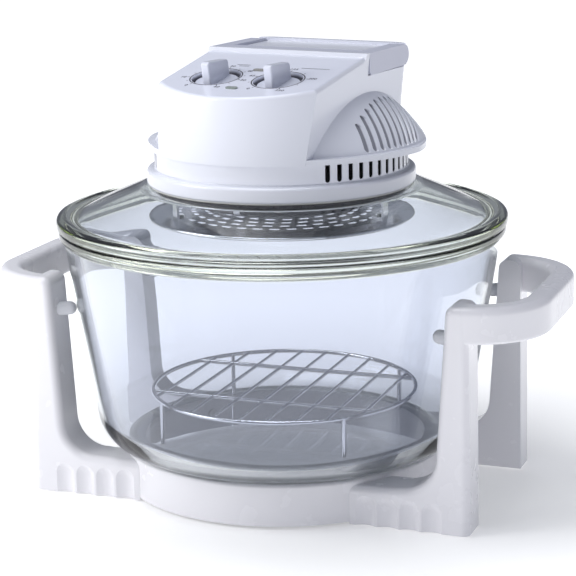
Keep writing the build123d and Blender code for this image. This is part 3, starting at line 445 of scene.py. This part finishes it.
lower_plastic = moulded("lower_housing_plastic", white_light, white_shadow, 0.2)
across, along, up = head_axes(lower_plastic)
within_bore = 1 - lower_plastic.step(distance(across, along), drum_bore, drum_bore + 0.0008)
# Painted shade: the drum's bore is painted near black.
drum_inside = within_bore * lower_plastic.step(up, drum_floor, drum_floor + 0.001)
lower_white = lower_plastic.blend(lower_plastic.noise(11, 3), white_light, white_shadow)
lower_plastic.set(Base_Color=lower_plastic.blend(drum_inside, lower_white, unlit))
dress(lower_plastic, "lower_housing")

upper_plastic = moulded("upper_housing_plastic", white_light, white_shadow, 0.2)
across, along, up = head_axes(upper_plastic)
sideways = abs(across)
above_panel = up - (panel_front_height + panel_slope * (along - panel_front_y))
ahead_of_ridge = 1 - upper_plastic.step(along, ridge_y - 0.0006, ridge_y - 0.0002)
film_area = upper_plastic.step(above_panel, -0.0006, -0.0003) * ahead_of_ridge
film = upper_plastic.blend(upper_plastic.noise(30, 3), shade(0.83, 0.85, 0.95), shade(0.8, 0.82, 0.93))
upper_white = upper_plastic.blend(upper_plastic.noise(11, 3), white_light, white_shadow)
from_knob = distance(sideways - knob_across, along - knob_along)
# Painted shade: the walls of each knob's well are painted dark.
well_shade = (1 - upper_plastic.step(from_knob, well_radius, well_radius + 0.0004)) * ahead_of_ridge
well_shade = well_shade * (1 - upper_plastic.step(above_panel, -0.003, -0.0004))
hood_depth = hood_ball - distance(across - hood_centre[0], along - hood_centre[1], up - hood_centre[2])
in_hood = upper_plastic.step(sideways, hood_from, hood_from + 0.0005)
# Painted shade: the floors of the vent grooves are painted grey.
groove_shade = upper_plastic.step(hood_depth, 0.0007, 0.0015) * in_hood
# Painted shade: the inside behind the vent slits is painted near black.
inside_hood = upper_plastic.step(hood_depth, 0.0018, 0.0022) * in_hood
upper_colour = upper_plastic.blend(film_area, upper_white, film)
upper_colour = upper_plastic.blend(well_shade, upper_colour, shade(0.16, 0.16, 0.19))
upper_colour = upper_plastic.blend(groove_shade * 0.85, upper_colour, shade(0.2, 0.2, 0.24))
upper_plastic.set(Base_Color=upper_plastic.blend(inside_hood, upper_colour, unlit))
dress(upper_plastic, "upper_housing")


# ---- printed dials ----
# Dark ink on the panel's film: short ticks and numbers round each knob's well, minutes for the timer and
# degrees for the thermostat, and plain rules where a caption would be. A dark line in the same ink rings
# each well, as painted shade along the well's edge.
panel_tilt = Matrix.Rotation(atan(panel_slope), 4, "X")
panel_place = head_place @ Matrix.Translation((0, panel_front_y, panel_front_height)) @ panel_tilt
knob_up_panel = (knob_along - panel_front_y) / cos(atan(panel_slope))
ink_lift = 0.00006
well_edge_shade_line = 0.0009
rule_line = 0.0007
tick_width = 0.0007
tick_length = 0.0018
short_tick = 0.0011
tick_radius = 0.0207
number_radius = 0.0246
number_size = 0.0044
number_weight = 0.00006
first_angle = -150
last_angle = 150
dial_print = bmesh.new()


def print_bar(spot, width, height):
    bmesh.ops.create_grid(dial_print, x_segments=1, y_segments=1, size=0.5,
                          matrix=spot @ Matrix.Diagonal((width, height, 1, 1)))


def print_ring(spot, radius, line):
    outer = bmesh.ops.create_circle(dial_print, segments=72, radius=radius + line, matrix=spot)["verts"]
    inner = bmesh.ops.create_circle(dial_print, segments=72, radius=radius, matrix=spot)["verts"]
    edges = list({edge for vert in outer + inner for edge in vert.link_edges})
    bmesh.ops.bridge_loops(dial_print, edges=edges)


def print_text(spot, label, size):
    letters = bpy.data.curves.new("label", "FONT")
    letters.body = label
    letters.size = size
    letters.offset = number_weight
    letters.align_x = "CENTER"
    letters.align_y = "CENTER"
    holder = bpy.data.objects.new("label", letters)
    outline = bpy.data.meshes.new_from_object(holder)
    outline.transform(spot)
    dial_print.from_mesh(outline)
    bpy.data.objects.remove(holder)
    bpy.data.curves.remove(letters)
    bpy.data.meshes.remove(outline)


def print_dial(centre_x, numbers):
    """Painted shade ring at the well's edge, and ticks and numbers round one knob, clockwise, every second
    tick a short one.
    """
    centre = panel_place @ Matrix.Translation((centre_x, knob_up_panel, ink_lift))
    # The ring is painted shade along the well's edge.
    print_ring(centre, well_radius, well_edge_shade_line)
    ticks = 2 * len(numbers) - 1
    for tick in range(ticks):
        angle = radians(first_angle + (last_angle - first_angle) * tick / (ticks - 1))
        spot = centre @ Matrix.Rotation(-angle, 4, "Z") @ Matrix.Translation((0, tick_radius, 0))
        print_bar(spot, tick_width, short_tick if tick % 2 else tick_length)
    for number, label in enumerate(numbers):
        angle = radians(first_angle + (last_angle - first_angle) * number / (len(numbers) - 1))
        offset = Vector((number_radius * sin(angle), number_radius * cos(angle), 0))
        print_text(centre @ Matrix.Translation(offset), label, number_size)


print_dial(-knob_across, ["0", "10", "20", "30", "40", "50", "60"])
print_dial(knob_across, ["0", "65", "125", "200", "250"])
rules = (
    (-0.018, -0.0205, 0.011),
    (-0.0165, -0.0232, 0.008),
    (0.002, -0.0205, 0.006),
    (0.04, -0.0215, 0.022))
for rule_x, rule_along, rule_width in rules:
    rule_up_panel = (rule_along - panel_front_y) / cos(atan(panel_slope))
    print_bar(panel_place @ Matrix.Translation((rule_x, rule_up_panel, ink_lift)), rule_width, rule_line)
ink = Finish("panel_ink", Specular_IOR_Level=0.3)
ink_wear = ink.noise(260, 3)
ink.set(Base_Color=ink.blend(ink_wear, shade(0.02, 0.02, 0.03), shade(0.08, 0.08, 0.1)))
ink.set(Roughness=0.35 + 0.2 * ink_wear)
piece("dial_print", dial_print, "lid", ink)


# ---- knobs ----
# Moulded white knobs: a disc sunk in the panel and a wedge-shaped bar, pushed on to steel shafts.
knob_plastic = moulded("knob_plastic", shade(0.75, 0.77, 0.86), shade(0.71, 0.73, 0.83), 0.22)
dress(knob_plastic, "timer_knob", "thermostat_knob")
ground_steel = metal("ground_steel", shade(0.66, 0.66, 0.67), shade(0.52, 0.52, 0.54), 0.2, 0.2)
dress(ground_steel, "timer_shaft", "thermostat_shaft", "fan_shaft", "motor_standoffs", "lamp_clips",
      "handle_pivot_pins")


# ---- pilot lights ----
# Small oblong lenses of tinted clear plastic, set in the panel over neon lamps.
rib_rate = 9000  # radians to the metre


def lens(name, deep, pale):
    """Tinted plastic with fine ribs across it that scatter the lamp's light."""
    finish = Finish(name, IOR=1.49, Coat_Weight=0.5, Coat_Roughness=0.05)
    x, y, z = finish.axes()
    ribs = 0.5 + 0.5 * (x * rib_rate).sine()
    finish.set(Base_Color=finish.blend(ribs, deep, pale))
    finish.set(Roughness=0.12 + 0.1 * finish.noise(200, 2))
    finish.bump(ribs, 0.00004)
    return finish


dress(lens("green_lens", shade(0.24, 0.28, 0.25), shade(0.38, 0.42, 0.39)), "power_lens")
dress(lens("amber_lens", shade(0.29, 0.28, 0.25), shade(0.43, 0.42, 0.38)), "heat_lens")
dress(glass("neon_glass", shade(0.95, 0.75, 0.6)), "neon_lamps")


# ---- carry handle ----
# Grey plastic hoop on two steel pins. Folded down, it fills a step in the top of the head.
handle_plastic = moulded("handle_plastic", shade(0.63, 0.64, 0.74), shade(0.59, 0.6, 0.71), 0.34, 2)
dress(handle_plastic, "carry_handle")


# ---- lamp ----
# Halogen tube bent into a ring: quartz over a coiled filament, its ends in ceramic blocks that go up
# through the reflector. The quartz is painted near black with a little mottling, a painted reflection of
# dark surroundings.
lamp_low, lamp_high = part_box("halogen_lamp")
lamp_height = (lamp_low.z + lamp_high.z) / 2
lamp_tube = 0.0045
lamp_wall = 0.0008
lamp_ring = 0.062
lamp_gap = radians(30)
lamp_start = radians(90) + head_turn + lamp_gap / 2
lamp_sweep = 2 * pi - lamp_gap
lamp_form = bmesh.new()
for tube_radius, facing in ((lamp_tube, 1), (lamp_tube - lamp_wall, -1)):
    ring_start = Matrix.Rotation(lamp_start, 4, "Z") @ Matrix.Translation((lamp_ring, 0, lamp_height))
    ring_place = ring_start @ Matrix.Rotation(pi / 2, 4, "X")
    circle = bmesh.ops.create_circle(lamp_form, segments=24, radius=tube_radius, matrix=ring_place)["verts"]
    edges = list({edge for vert in circle for edge in vert.link_edges})
    before = set(lamp_form.faces)
    bmesh.ops.spin(lamp_form, geom=circle + edges, axis=(0, 0, 1), angle=lamp_sweep, steps=120)
    made = [face for face in lamp_form.faces if face not in before]
    bmesh.ops.recalc_face_normals(lamp_form, faces=made)
    if facing < 0:
        bmesh.ops.reverse_faces(lamp_form, faces=made)
quartz = Finish("quartz_painted_dark", IOR=1.46, Transmission_Weight=0.12, Coat_Weight=0.4, Coat_Roughness=0.06)
# Painted reflection: the tube's colour is near black, mottled a little.
dark_mottle = quartz.noise(120, 4)
quartz.set(Base_Color=quartz.blend(dark_mottle, shade(0.012, 0.012, 0.013), shade(0.05, 0.048, 0.048)))
quartz.set(Roughness=0.08 + 0.12 * dark_mottle)
quartz_tube = piece("quartz_tube", lamp_form, "lid", quartz)
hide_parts("halogen_lamp")
coil_wire = 0.0004
coil_radius = 0.0017
coil_turns = 150
coil_inset = 0.03
coil_form = bmesh.new()
coil_start = Matrix.Rotation(lamp_start + coil_inset, 4, "Z")
coil_place = coil_start @ Matrix.Translation((lamp_ring, 0, lamp_height))
bmesh.ops.create_circle(coil_form, segments=5, radius=coil_wire,
                        matrix=coil_place @ Matrix.Translation((coil_radius, 0, 0)))
bmesh.ops.spin(coil_form, geom=coil_form.verts[:] + coil_form.edges[:], cent=coil_place.translation,
               axis=coil_place.to_3x3() @ Vector((0, 1, 0)), angle=2 * pi, steps=9, use_merge=True)
bmesh.ops.recalc_face_normals(coil_form, faces=coil_form.faces[:])
bmesh.ops.spin(coil_form, geom=coil_form.verts[:] + coil_form.edges[:] + coil_form.faces[:], axis=(0, 0, 1),
               angle=lamp_sweep - 2 * coil_inset, steps=coil_turns, use_duplicate=True)
tungsten = metal("tungsten", shade(0.2, 0.19, 0.19), shade(0.12, 0.11, 0.11), 0.4, 0.2)
piece("heating_coil", coil_form, "lid", tungsten)


def ceramic(name, light, shadow, gloss):
    """Fired clay: fine specks and a dry surface."""
    finish = Finish(name, IOR=1.55)
    specks = finish.step(finish.noise(900, 2), 0.62, 0.7)
    finish.set(Base_Color=finish.blend(specks, light, shadow))
    finish.set(Roughness=gloss + 0.2 * finish.noise(120, 3))
    finish.bump(finish.noise(700, 3), 0.00005)
    return finish


white_ceramic = ceramic("ceramic_white", shade(0.8, 0.78, 0.72), shade(0.6, 0.57, 0.5), 0.5)
dress(white_ceramic, "lamp_ends", "terminal_block", "thermal_cutout", "thermostat_body")


# ---- reflector and fans ----
# Spun aluminium dish above the lamp, and stamped aluminium fans on the motor's shaft.
def spun(name, light, shadow, gloss):
    """Aluminium with the fine rings that spinning or turning leaves."""
    finish = Finish(name, Metallic=1.0)
    x, y, z = finish.axes()
    rings = finish.add("TexNoise", {"noise_dimensions": "1D"},
                       {"W": distance(x, y), "Scale": 2200, "Detail": 2.0})
    finish.set(Base_Color=finish.blend(finish.noise(40, 3), light, shadow))
    finish.set(Roughness=gloss + 0.2 * rings)
    finish.bump(rings, 0.00002)
    return finish


dress(spun("reflector_sheet", shade(0.84, 0.84, 0.85), shade(0.72, 0.72, 0.74), 0.12), "reflector")
fan_aluminium = spun("fan_aluminium", shade(0.76, 0.76, 0.77), shade(0.66, 0.66, 0.68), 0.25)
dress(fan_aluminium, "convection_fan", "cooling_fan")


# ---- heat shield and motor ----
# Galvanised sheet over a mineral board, and a small shaded motor: stacked iron between two bells,
# enamelled copper windings and bronze bushes.
def galvanised(name):
    """Zinc coated sheet with its flower pattern."""
    finish = Finish(name, Metallic=1.0)
    flowers = finish.add("TexVoronoi", None, {"Vector": finish.place(), "Scale": 160.0}, out="Color")
    flower = finish.add("SeparateColor", None, {0: flowers})
    finish.set(Base_Color=finish.blend(flower, shade(0.52, 0.53, 0.54), shade(0.72, 0.73, 0.74)))
    finish.set(Roughness=0.28 + 0.22 * flower)
    finish.bump(finish.noise(500, 2), 0.00001)
    return finish


def striped(name, light, shadow, pitch, metallic, gloss):
    """Fine stripes up the piece: edges of stacked sheets, or turns of wire."""
    finish = Finish(name, Metallic=metallic)
    x, y, z = finish.axes()
    stripes = 0.5 + 0.5 * (z * (2 * pi / pitch)).sine()
    finish.set(Base_Color=finish.blend(stripes, shadow, light))
    finish.set(Roughness=gloss + 0.15 * finish.noise(150, 3))
    finish.bump(stripes, 0.00006)
    return finish


dress(galvanised("galvanised_sheet"), "heat_shield", "motor_lower_bell", "motor_upper_bell")
motor_iron = striped("motor_iron", shade(0.24, 0.24, 0.25), shade(0.12, 0.12, 0.13), 0.0006, 0.8, 0.4)
dress(motor_iron, "motor_stator", "motor_rotor")
copper_wire = striped("copper_wire", shade(0.72, 0.36, 0.18), shade(0.4, 0.17, 0.08), 0.0005, 0.9, 0.25)
dress(copper_wire, "motor_windings")
bronze = metal("bearing_bronze", shade(0.62, 0.46, 0.25), shade(0.44, 0.31, 0.16), 0.35, 0.2)
dress(bronze, "motor_bearings")
dress(ceramic("mineral_board", shade(0.72, 0.68, 0.6), shade(0.52, 0.48, 0.42), 0.75), "insulation_pad")


# ---- timer, switch and inlet ----
# Grey and black moulded cases with a fine spark texture, and the inlet's brass pins.
dress(moulded("grey_plastic", shade(0.5, 0.51, 0.52), shade(0.44, 0.45, 0.46), 0.5, 6), "timer_body")
black_plastic = moulded("black_plastic", shade(0.035, 0.035, 0.038), shade(0.055, 0.055, 0.06), 0.45, 6)
dress(black_plastic, "safety_switch", "switch_plunger", "power_inlet")
dress(metal("brass_pins", shade(0.72, 0.58, 0.3), shade(0.58, 0.44, 0.2), 0.2, 0.2), "inlet_pins")
